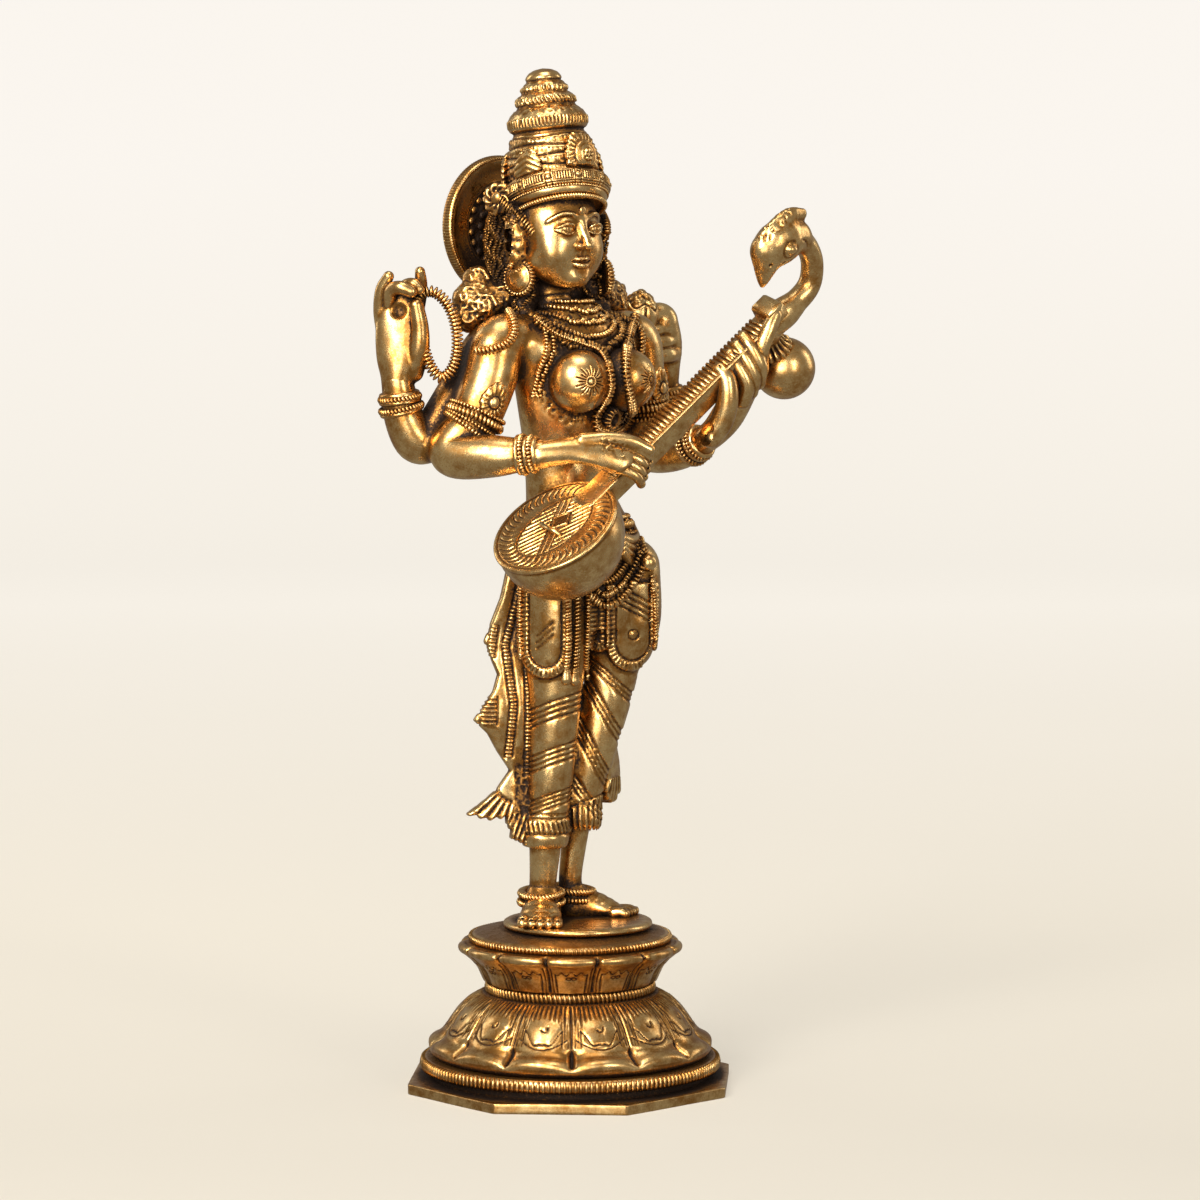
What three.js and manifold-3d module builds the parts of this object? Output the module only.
// Standing four-armed goddess with a veena, cast in brass, on a lotus pedestal.
// Millimetres, +Z up, origin at the centre of the pedestal's underside, the figure faces -Y.
import * as THREE from 'three';
import { mergeVertices } from 'three/addons/utils/BufferGeometryUtils.js';
import Module from 'manifold-3d';

const wasm = await Module();
wasm.setup();

// Pedestal
const PLATE_ACROSS_FLATS = 95;
const PLATE_THICKNESS = 3;
const FOOT_RING_RADIUS = 45;
const RECESS_HEIGHT = 2.3;
const FOOT_RING_HEIGHT = 3.9;
const LOWER_LOTUS_RADIUS = 42.7;
const LOWER_LOTUS_HEIGHT = 19.2;
const WAIST_RADIUS = 25.4;
const WAIST_HEIGHT = 3.5;
const UPPER_LOTUS_RADIUS = 33.1;
const UPPER_LOTUS_HEIGHT = 11.9;
const TOP_RING_RADIUS = 30.4;
const TOP_RING_HEIGHT = 2.7;
const TOP_DISH_RISE = 1.4;
const PETALS = 13;
const PETAL_SWELL = 1.2;
const PETAL_TURN_DEG = -13.1;

// Figure
const DISC_RADIUS = 22.5;
const DISC_THICKNESS = 2;
const DISC_OFFSET_X = 1.5;
const DISC_OFFSET_Y = -1.8;
const CASTING_GAP = 0.3;
const FIGURE_HEIGHT = 254.8;

// The pose below is drawn at this height above the disc and scaled to FIGURE_HEIGHT.
const DRAWN_HEIGHT = 254.8;
const FIGURE_SCALE = FIGURE_HEIGHT / DRAWN_HEIGHT;

const BRASS = new THREE.MeshStandardMaterial({ color: 0xb8873a, roughness: 0.32, metalness: 1 });
const PATINATED_BRASS = new THREE.MeshStandardMaterial({ color: 0x9c7232, roughness: 0.4, metalness: 1 });

const vec = (x, y, z) => new THREE.Vector3(x, y, z);
const lerp = THREE.MathUtils.lerp;

// Closed geometry to a solid, with its faces turned outward
function solid(geometry) {
  geometry.deleteAttribute('normal');
  geometry.deleteAttribute('uv');
  const merged = mergeVertices(geometry, 1e-4);
  const points = merged.attributes.position.array;
  const index = merged.index.array;
  const faces = [];
  let volume = 0;
  const [a, b, c] = [vec(0, 0, 0), vec(0, 0, 0), vec(0, 0, 0)];
  for (let i = 0; i < index.length; i += 3) {
    const [p, q, r] = [index[i], index[i + 1], index[i + 2]];
    if (p === q || q === r || r === p) continue;
    faces.push([p, q, r]);
    a.fromArray(points, 3 * p);
    b.fromArray(points, 3 * q);
    c.fromArray(points, 3 * r);
    volume += a.dot(b.cross(c)) / 6;
  }
  const turned = volume < 0 ? faces.map(([p, q, r]) => [p, r, q]) : faces;
  const triVerts = new Uint32Array(turned.flat());
  const vertProperties = new Float32Array(points);
  return new wasm.Manifold(new wasm.Mesh({ numProp: 3, vertProperties, triVerts }));
}

function join(solids) {
  return solids.reduce((whole, next) => whole.add(next));
}

function toGeometry(whole) {
  const mesh = whole.getMesh();
  const geometry = new THREE.BufferGeometry();
  geometry.setAttribute('position', new THREE.BufferAttribute(mesh.vertProperties, 3));
  geometry.setIndex(new THREE.BufferAttribute(mesh.triVerts, 1));
  return geometry;
}

// A sphere's grid of points laid over another closed shape: place(angle, row) says where each goes,
// and the first and last rows are single points.
function wrap(sides, rows, place) {
  const geometry = new THREE.SphereGeometry(1, sides, rows);
  const position = geometry.attributes.position;
  for (let row = 0; row <= rows; row += 1) {
    for (let side = 0; side <= sides; side += 1) {
      const angle = (2 * Math.PI * (side % sides)) / sides;
      const point = place(angle, row);
      position.setXYZ(row * (sides + 1) + side, point.x, point.y, point.z);
    }
  }
  return solid(geometry);
}

// A round-ended limb through stations [x, y, z, radius, flatness], drawn with `steps` rows.
// Flatness is the section's size along `flatAlong` as a share of the radius. bands are raised rings
// [share of the length, height], such as bangles.
function limb(stations, sides, steps, flatAlong = vec(0, 1, 0), bands = []) {
  const spine = new THREE.CatmullRomCurve3(stations.map(([x, y, z]) => vec(x, y, z)));
  const sizes = new THREE.CatmullRomCurve3(stations.map(([, , , r, flat = 1]) => vec(r, r * flat, 0)));
  const rows = [];
  for (let step = 0; step <= steps; step += 1) rows.push({ t: step / steps, grow: 1 });
  for (const [share, height, width = 0.035] of bands) {
    rows.push({ t: share - width, grow: 1 }, { t: share, grow: height }, { t: share + width, grow: 1 });
  }
  rows.sort((one, other) => one.t - other.t);
  const all = [{ t: 0, grow: 0, push: -0.75 }, ...rows, { t: 1, grow: 0, push: 0.75 }];
  return wrap(sides, all.length - 1, (angle, row) => {
    const { t, grow, push = 0 } = all[row];
    const centre = spine.getPoint(t);
    const along = spine.getTangent(t);
    const size = sizes.getPoint(t);
    const across = vec(0, 0, 0).crossVectors(along, flatAlong).normalize();
    const flat = vec(0, 0, 0).crossVectors(across, along).normalize();
    return centre
      .addScaledVector(along, push * Math.min(size.x, size.y))
      .addScaledVector(across, Math.cos(angle) * size.x * grow)
      .addScaledVector(flat, Math.sin(angle) * size.y * grow);
  });
}

// Level oval sections [z, x, y, half width, half depth] stacked up, with a ripple(angle, row) that
// multiplies their size
function stack(sections, sides, ripple = () => 1) {
  const last = sections.length - 1;
  return wrap(sides, sections.length + 1, (angle, row) => {
    const level = Math.min(Math.max(row - 1, 0), last);
    const [z, x, y, wide, deep] = sections[level];
    const isPole = row === 0 || row === sections.length + 1;
    const size = isPole ? 0 : ripple(angle, level);
    return vec(x + Math.cos(angle) * wide * size, y + Math.sin(angle) * deep * size, z);
  });
}

function egg(centre, radii, sides = 12, rows = 8, axis = vec(0, 0, 1)) {
  const turn = new THREE.Quaternion().setFromUnitVectors(vec(0, 0, 1), axis.clone().normalize());
  return wrap(sides, rows, (angle, row) => {
    const tilt = (Math.PI * row) / rows;
    const flat = Math.sin(tilt);
    const point = vec(Math.cos(angle) * flat * radii[0], Math.sin(angle) * flat * radii[1], Math.cos(tilt) * radii[2]);
    return point.applyQuaternion(turn).add(centre);
  });
}

// A turned shape from an [radius, height] outline that starts and ends on the axis
function turned(outline, sides, centre, axis = vec(0, 0, 1), ripple = null, start = 0) {
  const points = outline.map(([r, h]) => new THREE.Vector2(r, h));
  const geometry = new THREE.LatheGeometry(points, sides, start);
  const position = geometry.attributes.position;
  if (ripple) {
    const rows = outline.length;
    for (let i = 0; i < position.count; i += 1) {
      const size = ripple(Math.floor(i / rows) % sides, i % rows);
      position.setXYZ(i, position.getX(i) * size, position.getY(i), position.getZ(i) * size);
    }
  }
  geometry.applyQuaternion(new THREE.Quaternion().setFromUnitVectors(vec(0, 1, 0), axis.clone().normalize()));
  geometry.translate(centre.x, centre.y, centre.z);
  return solid(geometry);
}

// A flat plate cut to an outline of [along, z] points, standing on the line from `foot` along `run`
function plate(outline, foot, run, thickness) {
  const shape = new THREE.Shape(outline.map(([along, z]) => new THREE.Vector2(along, z)));
  const geometry = new THREE.ExtrudeGeometry(shape, { depth: thickness, bevelEnabled: false });
  geometry.translate(0, 0, -thickness / 2);
  const across = run.clone().normalize();
  const up = vec(0, 0, 1);
  const basis = new THREE.Matrix4().makeBasis(across, up, vec(0, 0, 0).crossVectors(across, up));
  geometry.applyMatrix4(basis);
  geometry.translate(foot.x, foot.y, foot.z);
  return solid(geometry);
}

// Figure, drawn with its soles at z = 0

const HEAD = vec(-2, 0, 207);
const BOTH = [-1, 1];

// Cloth wound round a leg in raised folds that slant across the front, over a hem that stands out
function woundFolds(stations, hem, turns, slant) {
  const steps = 10;
  const spine = new THREE.CatmullRomCurve3(stations.map(([x, y, z]) => vec(x, y, z)));
  const sizes = new THREE.CatmullRomCurve3(stations.map(([, , , r]) => vec(r, 0, 0)));
  const foldHeight = 0.065;
  const folded = (angle, t) => {
    const phase = turns * t + (slant * Math.sin(angle)) / (2 * Math.PI);
    return 1 + foldHeight * Math.max(0, Math.cos(2 * Math.PI * phase));
  };
  const last = steps + hem.length;
  return wrap(8, last + 2, (angle, row) => {
    const level = Math.min(Math.max(row - 1, 0), last);
    const isPole = row === 0 || row === last + 2;
    const t = Math.min(level / steps, 1);
    const drop = level > steps ? hem[level - steps - 1] : [0, 0];
    const wide = level > steps ? drop[1] : sizes.getPoint(t).x * folded(angle, t);
    const radius = isPole ? 0 : wide;
    const centre = spine.getPoint(t);
    return vec(centre.x + Math.cos(angle) * radius, centre.y + Math.sin(angle) * radius, centre.z - drop[0]);
  });
}

function legs() {
  const right = [[-6.5, -0.5, 92, 10.6], [-7, -1, 71, 8.4], [-7.4, 0.6, 43, 6.7], [-7.8, 2.2, 26, 6]];
  const left = [[11, -2, 92, 11], [13.4, -3.4, 76, 8.6], [9, -1, 52, 6.8], [6.3, 2, 34, 5.2]];
  const rightHem = [[1, 7.2], [5, 7.3], [7, 5.2]];
  const leftHem = [[1, 6.3], [5, 6.4], [7, 4.6]];
  return [
    woundFolds(right, rightHem, 4, 2.2),
    woundFolds(left, leftHem, 4, -3.4),
    limb([[-7.8, 2.6, 22, 4.8], [-7.5, 3.8, 13, 4.2], [-7.2, 4.4, 4.6, 4.8]], 7, 2),
    limb([[5.8, 3.4, 30, 4.2], [5, 5.6, 14, 3.5], [5.4, 5.9, 4.6, 4.4]], 7, 2),
    egg(vec(0.8, 2.4, 58), [4.6, 3.4, 36], 6, 4),
  ];
}

// A foot from the heel along `heading`, with five toes
function foot(heel, heading) {
  const ahead = vec(Math.cos(heading), Math.sin(heading), 0);
  const aside = vec(-Math.sin(heading), Math.cos(heading), 0);
  const station = (along, across, z, r, flat) => {
    const place = heel.clone().addScaledVector(ahead, along).addScaledVector(aside, across);
    return [place.x, place.y, z, r, flat];
  };
  const up = vec(0, 0, 1);
  const sole = limb(
    [station(-2.5, 0, 2.6, 3.8, 0.9), station(5, 0, 3.6, 4.8, 0.95), station(11, 0, 2.4, 5, 0.56), station(16, 0, 1.5, 4.8, 0.38)],
    7, 3, up,
  );
  const toes = [-3.8, -1.9, 0, 1.9, 3.9].map((across, number) => {
    const reach = 21 - 0.5 * Math.abs(number - 3.2) ** 1.4;
    return limb([station(14.6, across * 0.95, 1.8, 1.3), station(reach, across, 1.5, 1.1)], 4, 1, up);
  });
  return [sole, ...toes];
}

// A rounded skirt panel hanging over a thigh, with a raised border round a hollow field
function panel(top, drop, wide, facing, swell) {
  const out = vec(Math.cos(facing), Math.sin(facing), 0);
  const across = vec(-Math.sin(facing), Math.cos(facing), 0);
  const reach = [0, 0.62, 0.76, 1, 0.9, 0];
  const proud = [swell, swell * 0.86, swell, swell * 0.62, -2, -3];
  return wrap(10, 5, (angle, row) => top.clone()
    .addScaledVector(out, proud[row] - 0.12 * swell * (Math.cos(angle) * reach[row]) ** 2)
    .addScaledVector(across, Math.cos(angle) * reach[row] * wide)
    .add(vec(0, 0, Math.sin(angle) * reach[row] * drop)));
}

// Skirt, belt, body and collar in one stack of oval sections, with the skirt's hem in folds
function body() {
  const folds = (angle, row) => (row < 4 ? 1 + 0.04 * Math.cos(7 * angle) : 1);
  return stack(
    [[75, 3, 0, 17, 11.5], [82, 3.6, 0, 19.6, 13.4], [90, 4.6, 0, 20.6, 14], [99, 5.4, 0, 21.4, 14.6], [109, 5, 0.5, 20.2, 14.2],
      [116.4, 4.2, 1, 18.4, 13.2], [118, 4, 1, 20.2, 14.8], [123, 3, 1, 19.6, 14.2], [125, 2.2, 1, 16.4, 11.4],
      [134, -0.6, 1, 13.8, 9.9], [143, -1, 0.6, 14.8, 10], [151, -0.5, 0, 17.2, 10.8], [160, 0, -0.3, 19.8, 11.4],
      [169, 0, 0.4, 21.6, 11.8], [177.6, 0, 0.4, 19.6, 11.2], [184, 0, -0.4, 11, 9],
      [186, 0, -0.4, 6, 6]],
    12, folds,
  );
}

function skirtPieces() {
  const pleat = limb([[2.6, -13.2, 114, 4.6, 0.5], [2.6, -15, 94, 5.4, 0.5], [2.2, -14, 71, 6, 0.5]], 8, 2);
  const garland = limb([[24.5, -7, 104, 2.2], [16, -15, 93, 2.6], [7, -16.4, 91, 2.6], [-2, -13.5, 104, 2]], 5, 4);
  return [pleat, garland, panel(vec(-7.4, -7, 91), 19, 10, -1.95, 7), panel(vec(15.8, -7, 90), 17, 10, -1.05, 7.4)];
}

function chest() {
  const breasts = [-10.4, 11.4].map((x) => egg(vec(x, -9.6, 163.5), [8.8, 8.8, 8.8], 9, 5, vec(x * 0.05, -1, 0)));
  const chain = limb(
    [[-14, -8, 177, 1.7], [-11, -15.4, 170, 1.7], [-4.4, -17, 158, 1.8], [0.6, -16.6, 149.6, 3], [5, -17, 158, 1.8],
      [11.4, -15.4, 170, 1.7], [14, -8, 177, 1.7]],
    4, 9,
  );
  const scrolls = BOTH.map((side) => limb(
    [[side * 12, 5, 187, 4.4], [side * 20, 5.6, 184.4, 4.8], [side * 26.6, 4.6, 181, 4.2]], 6, 2,
  ));
  return [...breasts, chain, ...scrolls];
}

// Armlets and bangles belong to each arm's own outline
function frontArms() {
  const armlet = [0.44, 1.18, 0.045];
  const bangle = [0.95, 1.32, 0.035];
  const right = limb(
    [[-17, 1.8, 177, 6.6], [-28, 3.4, 174.6, 7.6], [-33, 4.4, 163, 7.2], [-38.4, 6.6, 151, 6.4], [-43, 8.4, 141, 6], [-36, -7, 140.4, 5.2], [-27, -20, 141, 3.8]],
    7, 7, vec(0.76, 0.52, -0.21), [armlet, bangle],
  );
  const left = limb(
    [[17, 1.6, 177, 6.6], [28, 1.4, 174.6, 7.6], [31, 2.6, 162, 6.8], [33.4, 4.2, 148, 6], [34.6, 3.4, 138.6, 5.8], [35.5, -10, 139.6, 5], [36, -22.5, 144.6, 3.8]],
    7, 7, vec(1, 0, 0), [armlet, bangle],
  );
  return [right, left];
}

function backArms() {
  return BOTH.map((side) => limb(
    [[side * 26, 8, 172, 6.6], [side * 35, 13.4, 159, 6], [side * 45, 18.4, 146, 5.4], [side * 49.6, 19.4, 142.4, 5.2],
      [side * 51, 19.4, 151, 4.6], [side * 51, 18.8, 161, 3.9]],
    7, 7, vec(0, 1, 0), [[0.93, 1.38, 0.035]],
  ));
}

// Fingers through [x, y, z] joints, thinning toward the tip
function fingers(paths, radius) {
  return paths.map((path) => {
    const joints = path.map(([x, y, z], joint) => [x, y, z, radius * (1 - 0.12 * joint)]);
    return limb(joints, 4, path.length - 1, vec(0.3, 0.2, 0.9));
  });
}

function strummingHand() {
  const palm = limb([[-28, -19.5, 141, 3.8, 0.95], [-22, -24, 141.5, 5.2, 0.55], [-15, -28.5, 141, 5.8, 0.45]], 7, 2, vec(0, 0, 1));
  const lines = [-4, -1.4, 1.2, 3.8].map((across) => [
    [-15 + 0.55 * across, -28.5 + 0.8 * across, 141.2],
    [-8 + 0.4 * across, -32.2 + 0.9 * across, 140.6],
    [-0.5 + 0.3 * across - 0.12 * across ** 2, -35.5 + 0.9 * across, 136.6],
  ]);
  const thumb = [[-22, -28, 141.4], [-16, -33.6, 140.6], [-10, -36.6, 139.4]];
  return [palm, ...fingers([...lines, thumb], 1.7)];
}

function fingeringHand() {
  const palm = limb([[36, -22.5, 144.5, 3.8, 1], [38.5, -28, 152, 5.4, 0.6], [41, -31, 160.5, 5.4, 0.6]], 7, 2, vec(-0.8, 0.6, 0));
  const lines = [0, 1, 2, 3].map((number) => {
    const along = -3.4 + 2.7 * number;
    return [[41.5 + 0.3 * along, -31, 161 + along], [43 + 0.4 * along, -38, 166 + along], [39 + 0.5 * along, -43.6, 169 + along], [32.5 + 0.5 * along, -41.6, 170.6 + along]];
  });
  const thumb = [[36, -26, 147], [33.4, -35.5, 153], [31.6, -41.6, 161], [29, -41.6, 167.4]];
  return [palm, ...fingers(lines, 1.8), ...fingers([thumb], 2.3)];
}

function rosaryHand() {
  const palm = limb([[-51, 18.8, 160, 3.8, 0.95], [-51.4, 17.8, 169, 7, 0.5], [-51, 17, 177, 7.4, 0.42]], 7, 2, vec(0, 1, 0));
  const raised = [[[-56.8, 17, 176], [-57.8, 16, 184], [-56.6, 13.4, 190.5]], [[-45.6, 16.4, 177], [-44.4, 15, 184], [-44.6, 12.4, 190]]];
  const folded = [[[-51.4, 16.8, 178.2], [-51, 12.6, 185.6], [-49.6, 6.6, 183.8]]];
  const thumb = [[-46.6, 15, 168], [-44.6, 9, 174], [-47.2, 5.6, 181]];
  const beads = limb(
    [[-47.6, 6.6, 182, 1.3], [-46.4, 7, 171, 1.3], [-43, 8.6, 160, 1.3], [-38.4, 10, 156, 1.3], [-36, 11, 164, 1.3], [-39.6, 11, 176, 1.3], [-45.4, 12, 184, 1.3]],
    4, 8,
  );
  return [palm, ...fingers([...raised, thumb], 1.9), ...fingers(folded, 2.6), beads];
}

function budHand() {
  const palm = limb([[51, 18.8, 160, 3.8, 0.95], [50.4, 17.4, 169, 6, 0.62], [49, 15.4, 177, 6.2, 0.6]], 7, 2, vec(0, 1, 0));
  const fist = limb([[51, 11, 170.6, 4], [48, 9, 175.6, 5], [46.6, 9.6, 180.6, 4.2]], 7, 2);
  const bud = turned([[0, -8], [5.4, -2], [5, 4], [0, 9]], 6, vec(42.6, 10.4, 179.4), vec(-0.35, -0.3, 0.85));
  return [palm, fist, bud];
}

function head() {
  const rows = 8;
  const skull = wrap(11, rows, (angle, row) => {
    const tilt = (Math.PI * row) / rows;
    const flat = Math.sin(tilt);
    const rise = Math.cos(tilt);
    const jaw = rise < 0 ? 1 - 0.24 * rise ** 2 : 1;
    return vec(Math.cos(angle) * flat * 11.6 * jaw, Math.sin(angle) * flat * 12.6 * jaw, rise * 15.6).add(HEAD);
  });
  const front = HEAD.y - 12.4;
  const nose = limb([[HEAD.x, front + 0.6, 211.4, 1], [HEAD.x, front - 1, 206.4, 1.3], [HEAD.x, front - 1.5, 203.4, 1.8]], 5, 2);
  const eyes = BOTH.map((side) => egg(vec(HEAD.x + side * 4.8, front + 2, 207.8), [3.2, 1.9, 1.3], 6, 4));
  const mouth = egg(vec(HEAD.x, front + 1, 199.6), [3, 1.5, 1.5], 6, 4);
  const chin = egg(vec(HEAD.x, front + 3, 195), [3.8, 3, 2.8], 6, 4);
  const neck = stack([[180, 0, -0.4, 6.4, 6], [186, -0.4, -0.6, 4.8, 4.8], [200, -1.6, 0, 5.5, 5.5]], 8);
  return [skull, nose, ...eyes, mouth, chin, neck];
}

function hair() {
  const mass = stack(
    [[184, -1, 9, 9, 7], [188, -1.4, 11, 13.4, 11], [196, -2, 12.6, 14.6, 14.4], [206, -2.2, 13.6, 14.2, 15.4], [214, -2.4, 11, 13.6, 13.8],
      [218, -2.6, 6, 12.6, 11]],
    11, (angle, row) => 1 + 0.03 * Math.cos(7 * angle + row),
  );
  const disc = [[0, -1.8], [5, -1.8], [6, 0], [5, 1.8], [0, 1.8]];
  const earrings = BOTH.map((side) => turned(disc, 8, vec(HEAD.x + side * 13.2, -1.6, 193.4), vec(side, -0.55, 0)));
  const locks = BOTH.map((side) => limb([[side * 11, 7, 192, 5.6], [side * 15.4, 4.4, 184, 4.2]], 6, 1));
  return [mass, ...earrings, ...locks];
}

// Brow band, leaf tier, ribbed ring, rope ring, collar and knob, turned on a leaning axis, with a
// medallion over the brow
function crown() {
  const foot = vec(HEAD.x - 2, 1.8, 214.8);
  const tip = vec(HEAD.x - 3.8, 5.6, DRAWN_HEIGHT);
  const height = tip.distanceTo(foot);
  const outline = [
    [0, 0], [12.8, 0], [13.4, 2.4], [15, 3.8], [15, 7], [13.6, 8.6], [13.4, 12], [10.4, 21], [12.2, 22.6], [12, 25],
    [8.8, 27], [9.2, 28.8], [6.2, 30.8], [5.8, 34.8], [4.4, 37.6], [0, height],
  ];
  const axis = tip.clone().sub(foot).normalize();
  const ribs = (side, row) => (row === 8 || row === 9 ? 1 + (side % 2 ? 0.035 : 0) : 1);
  const medallion = foot.clone().addScaledVector(axis, 13.6).add(vec(0, -12.6, 0));
  return [turned(outline, 12, foot, axis, ribs), egg(medallion, [5, 2.8, 6], 7, 4)];
}

// A dished ring round a thinner, darker middle, held by the back of the hair
function halo() {
  const dish = [[0, -1], [12.8, -1], [17, -2.4], [20.9, -2.6], [21.3, 1.4], [13.5, 1.4], [0, 1]];
  return turned(dish, 20, vec(-2.5, 29.2, 207.3), vec(0, 1, 0));
}

// The veena's own directions: along its neck, out of its fret face, and across the frets
const BOWL_CENTRE = vec(-22.2, -20.4, 118.6);
const BOWL_RADIUS = 19.3;
const NUT = vec(45.7, -40.5, 181);
const ALONG_NECK = NUT.clone().sub(BOWL_CENTRE).normalize();
const FACE_OUT = vec(-0.694, -0.228, 0.683).projectOnPlane(ALONG_NECK).normalize();
const ACROSS_NECK = vec(0, 0, 0).crossVectors(ALONG_NECK, FACE_OUT).normalize();

const fromNut = (along, out, across = 0) => NUT.clone()
  .addScaledVector(ALONG_NECK, along)
  .addScaledVector(FACE_OUT, out)
  .addScaledVector(ACROSS_NECK, across);

// The neck with its row of frets and the nut: one side outline of [along, out], as wide as the frets
function fretboard(length) {
  const [underside, board, fretTop, nutTop] = [-3.4, 3.2, 4.3, 6.6];
  const wide = 8;
  const fretCount = 10;
  const shape = new THREE.Shape();
  shape.moveTo(11 - length, underside);
  shape.lineTo(3, underside);
  shape.lineTo(3, nutTop);
  shape.lineTo(-3.4, nutTop);
  shape.lineTo(-3.4, board);
  for (let number = 0; number < fretCount; number += 1) {
    const place = lerp(-6, 27 - length, number / (fretCount - 1));
    shape.lineTo(place + 0.7, board);
    shape.lineTo(place, fretTop);
    shape.lineTo(place - 0.7, board);
  }
  shape.lineTo(11 - length, board);
  const geometry = new THREE.ExtrudeGeometry(shape, { depth: wide, bevelEnabled: false });
  geometry.translate(0, 0, -wide / 2);
  const toward = vec(0, 0, 0).crossVectors(ALONG_NECK, FACE_OUT);
  geometry.applyMatrix4(new THREE.Matrix4().makeBasis(ALONG_NECK, FACE_OUT, toward));
  geometry.translate(NUT.x, NUT.y, NUT.z);
  return solid(geometry);
}

function veena() {
  const faceLevel = 3.6;
  const rim = Math.asin(faceLevel / BOWL_RADIUS);
  const rimRadius = BOWL_RADIUS * Math.cos(rim);
  const outline = [[0, faceLevel], [rimRadius - 1, faceLevel], [rimRadius + 0.3, faceLevel - 0.8]];
  const rounds = 4;
  for (let step = 1; step <= rounds; step += 1) {
    const tilt = lerp(rim - 0.1, -Math.PI / 2, step / rounds);
    outline.push([step === rounds ? 0 : BOWL_RADIUS * Math.cos(tilt), BOWL_RADIUS * Math.sin(tilt)]);
  }
  const station = (along, out, r, flat) => [...fromNut(along, out).toArray(), r, flat];
  const birdNeck = limb(
    [station(-1, 0, 3.9), station(7, -1.2, 3.6), station(15.4, -0.4, 3.5), station(19.6, 5, 3.5), station(20.4, 11.5, 3.5), station(18.6, 18, 3.8)],
    6, 6, ACROSS_NECK,
  );
  const birdHead = limb([station(19.4, 18.6, 4), station(13.4, 21.6, 6.4), station(8.6, 19.4, 5.4)], 7, 2, ACROSS_NECK);
  const beak = limb([station(9, 19.6, 4.8), station(5, 16.8, 2.9), station(1.8, 13.6, 0.9)], 5, 2, ACROSS_NECK);
  const crest = limb([station(12, 25, 2, 0.6), station(18, 25.8, 2.8, 0.6), station(23.6, 24.4, 1.8, 0.6)], 4, 2, ACROSS_NECK);
  const gourd = egg(fromNut(-4.4, -20.1), [8.9, 8.9, 8.9], 8, 5, FACE_OUT);
  const collar = limb([station(-3.6, -2, 4.8), station(-4, -8, 3.4), station(-4.2, -12, 5.4)], 6, 2, ACROSS_NECK);
  return [
    turned(outline, 16, BOWL_CENTRE, FACE_OUT), fretboard(NUT.distanceTo(BOWL_CENTRE)),
    birdNeck, birdHead, beak, crest, gourd, collar,
  ];
}

// Scarf ends that fall beside the legs in zigzag folds; the outline is [away from the leg, z]
function scarves() {
  const thickness = 4.5;
  const rightOutline = [[-5, 118], [3, 121], [5.6, 112], [7.4, 97], [11.7, 82], [7.4, 73], [14.5, 62], [5, 48], [18.8, 33], [7.6, 31.5], [4.6, 24.5], [-1.8, 22.5], [-5, 34]];
  const leftOutline = [[-8, 116], [1, 116], [3, 100], [3.6, 84], [0, 72], [2.4, 62], [-1, 52], [3.4, 36], [-2, 33], [-8, 36], [-10, 50]];
  return [
    plate(rightOutline, vec(-12.6, 4.6, 0), vec(-0.87, 0.49, 0), thickness),
    plate(leftOutline, vec(19, 3, 0), vec(0.87, 0.49, 0), thickness),
    limb([[3, 11, 120, 4], [3.4, 13.4, 98, 4.6], [1.6, 9, 72, 4], [0.6, 6, 46, 3]], 5, 3),
  ];
}

function figure() {
  const rightHeel = vec(-7.2, 5, 0);
  const leftHeel = vec(5.4, 6.6, 0);
  const drawn = [
    ...legs(), ...foot(rightHeel, -2.31), ...foot(leftHeel, -0.83), body(), ...skirtPieces(), ...chest(),
    ...frontArms(), ...backArms(), ...strummingHand(), ...fingeringHand(), ...rosaryHand(), ...budHand(),
    ...head(), ...hair(), ...crown(), halo(), ...veena(), ...scarves(),
  ];
  const scaled = join(drawn).scale([FIGURE_SCALE, FIGURE_SCALE, FIGURE_SCALE]);
  const disc = turned(
    [[0, -DISC_THICKNESS], [DISC_RADIUS, -DISC_THICKNESS], [DISC_RADIUS - 0.3, 0.25], [0, 0.25]],
    24, vec(DISC_OFFSET_X, DISC_OFFSET_Y, 0),
  );
  const mesh = new THREE.Mesh(toGeometry(scaled.add(disc)), BRASS);
  mesh.name = 'figure';
  return mesh;
}

// Pedestal: one casting, an octagonal plate under two rings of lotus petals with ribbed rings between

const RECESS_TOP = PLATE_THICKNESS + RECESS_HEIGHT;
const LOWER_LOTUS_BASE = RECESS_TOP + FOOT_RING_HEIGHT;
const WAIST_BASE = LOWER_LOTUS_BASE + LOWER_LOTUS_HEIGHT;
const UPPER_LOTUS_BASE = WAIST_BASE + WAIST_HEIGHT;
const TOP_RING_BASE = UPPER_LOTUS_BASE + UPPER_LOTUS_HEIGHT;
const PEDESTAL_TOP = TOP_RING_BASE + TOP_RING_HEIGHT + TOP_DISH_RISE;

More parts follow.
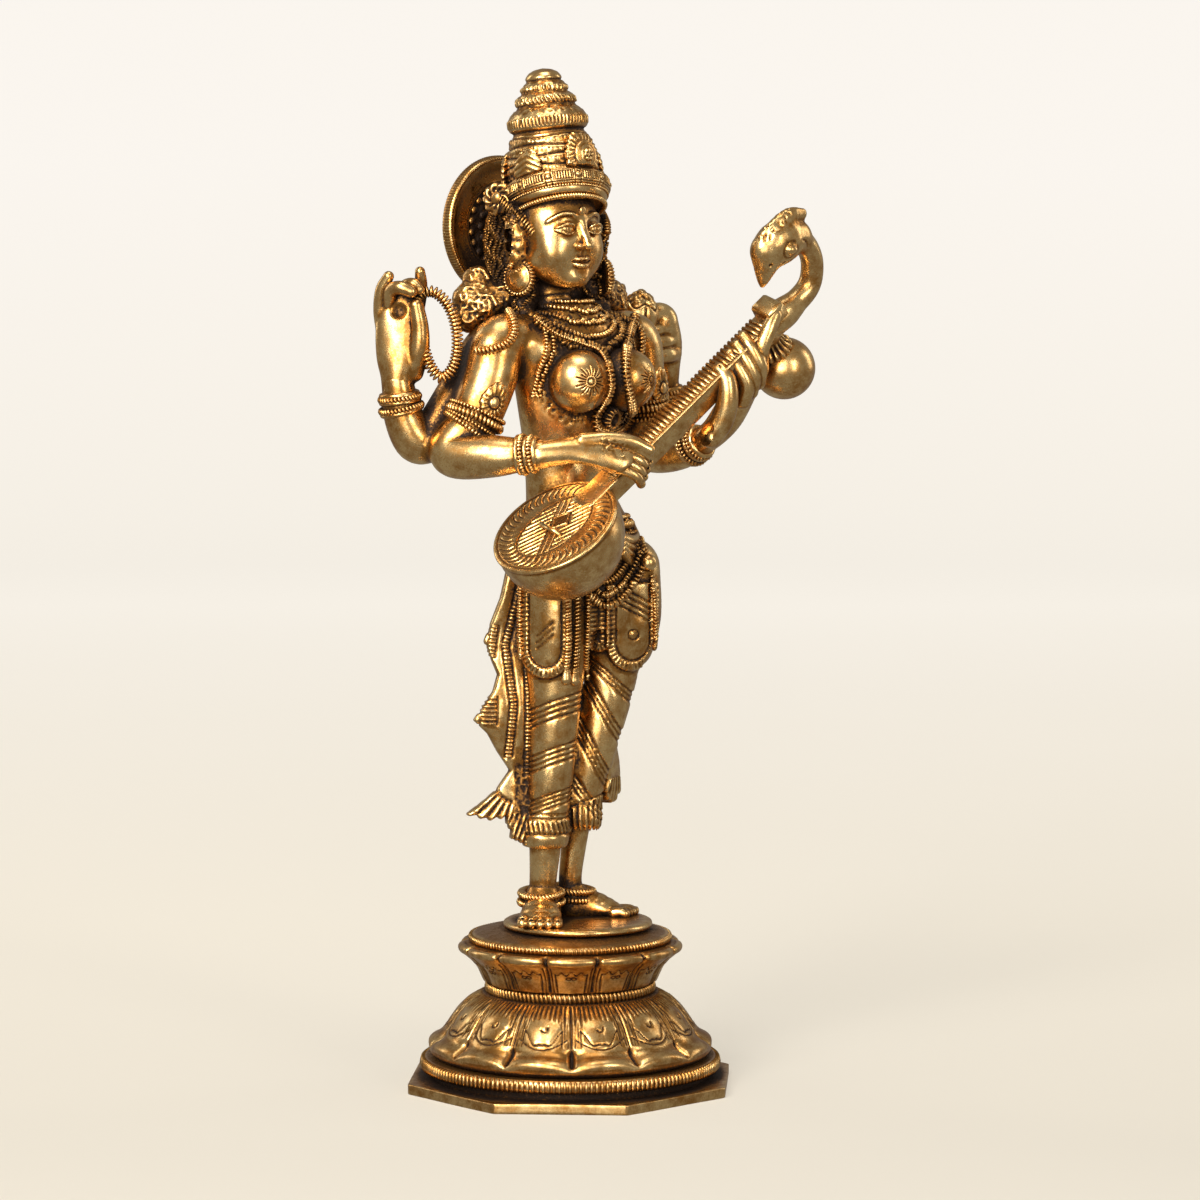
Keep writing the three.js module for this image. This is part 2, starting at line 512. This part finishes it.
// Outline rows as [radius, height, petal depth]: where petal depth is over 0 the row is carved in petals,
// and the upper ring's petals stand over the joints of the lower ring's
function pedestalOutline() {
  const lowerNeck = WAIST_RADIUS + 0.6;
  const lower = (share, rise, carve) => [
    lerp(lowerNeck, LOWER_LOTUS_RADIUS, share), LOWER_LOTUS_BASE + rise * LOWER_LOTUS_HEIGHT, carve,
  ];
  const upper = (share, rise, carve) => [
    lerp(WAIST_RADIUS, UPPER_LOTUS_RADIUS, share), UPPER_LOTUS_BASE + rise * UPPER_LOTUS_HEIGHT, carve,
  ];
  const ring = (radius, base, height) => [
    [radius - 0.35 * height, base, 0], [radius, base + 0.5 * height, 0], [radius - 0.35 * height, base + height, 0],
  ];
  return [
    [0, PLATE_THICKNESS - 0.5, 0],
    [FOOT_RING_RADIUS - 3.4, PLATE_THICKNESS - 0.5, 0],
    [FOOT_RING_RADIUS - 3.4, RECESS_TOP, 0],
    ...ring(FOOT_RING_RADIUS, RECESS_TOP, FOOT_RING_HEIGHT),
    lower(1, 0.1, 0.8), lower(0.98, 0.23, 1), lower(0.76, 0.29, 0.9), lower(0.62, 0.54, 1), lower(0.42, 0.74, 0.9),
    lower(0, 0.98, 0.2),
    ...ring(WAIST_RADIUS, WAIST_BASE, WAIST_HEIGHT),
    upper(0.03, 0.04, 0.2), upper(0.32, 0.42, 0.9), upper(0.66, 0.7, 1), upper(1, 0.88, 1),
    ...ring(TOP_RING_RADIUS, TOP_RING_BASE, TOP_RING_HEIGHT),
    [DISC_RADIUS + 0.5, PEDESTAL_TOP, 0],
    [0, PEDESTAL_TOP, 0],
  ];
}

function pedestal() {
  const outline = pedestalOutline();
  const swell = [-0.7, 0.3];
  const carve = (side, row) => {
    const half = outline[row][1] > WAIST_BASE ? side + 1 : side;
    return 1 + (swell[half % 2] * PETAL_SWELL * outline[row][2]) / (outline[row][0] || 1);
  };
  const turn = THREE.MathUtils.degToRad(PETAL_TURN_DEG);
  const lotus = turned(outline.map(([r, z]) => [r, z]), 2 * PETALS, vec(0, 0, 0), vec(0, 0, 1), carve, turn);
  const corner = PLATE_ACROSS_FLATS / 2 / Math.cos(Math.PI / 8);
  const octagon = new THREE.Shape();
  for (let side = 0; side < 8; side += 1) {
    const angle = Math.PI / 8 + (side * Math.PI) / 4;
    const draw = side === 0 ? 'moveTo' : 'lineTo';
    octagon[draw](corner * Math.cos(angle), corner * Math.sin(angle));
  }
  const base = solid(new THREE.ExtrudeGeometry(octagon, { depth: PLATE_THICKNESS, bevelEnabled: false }));
  const mesh = new THREE.Mesh(toGeometry(lotus.add(base)), PATINATED_BRASS);
  mesh.name = 'pedestal';
  return mesh;
}

const statue = new THREE.Group();
const lotusPedestal = pedestal();
const goddess = figure();
goddess.position.z = PEDESTAL_TOP + CASTING_GAP + DISC_THICKNESS;
statue.add(lotusPedestal, goddess);

export default statue;
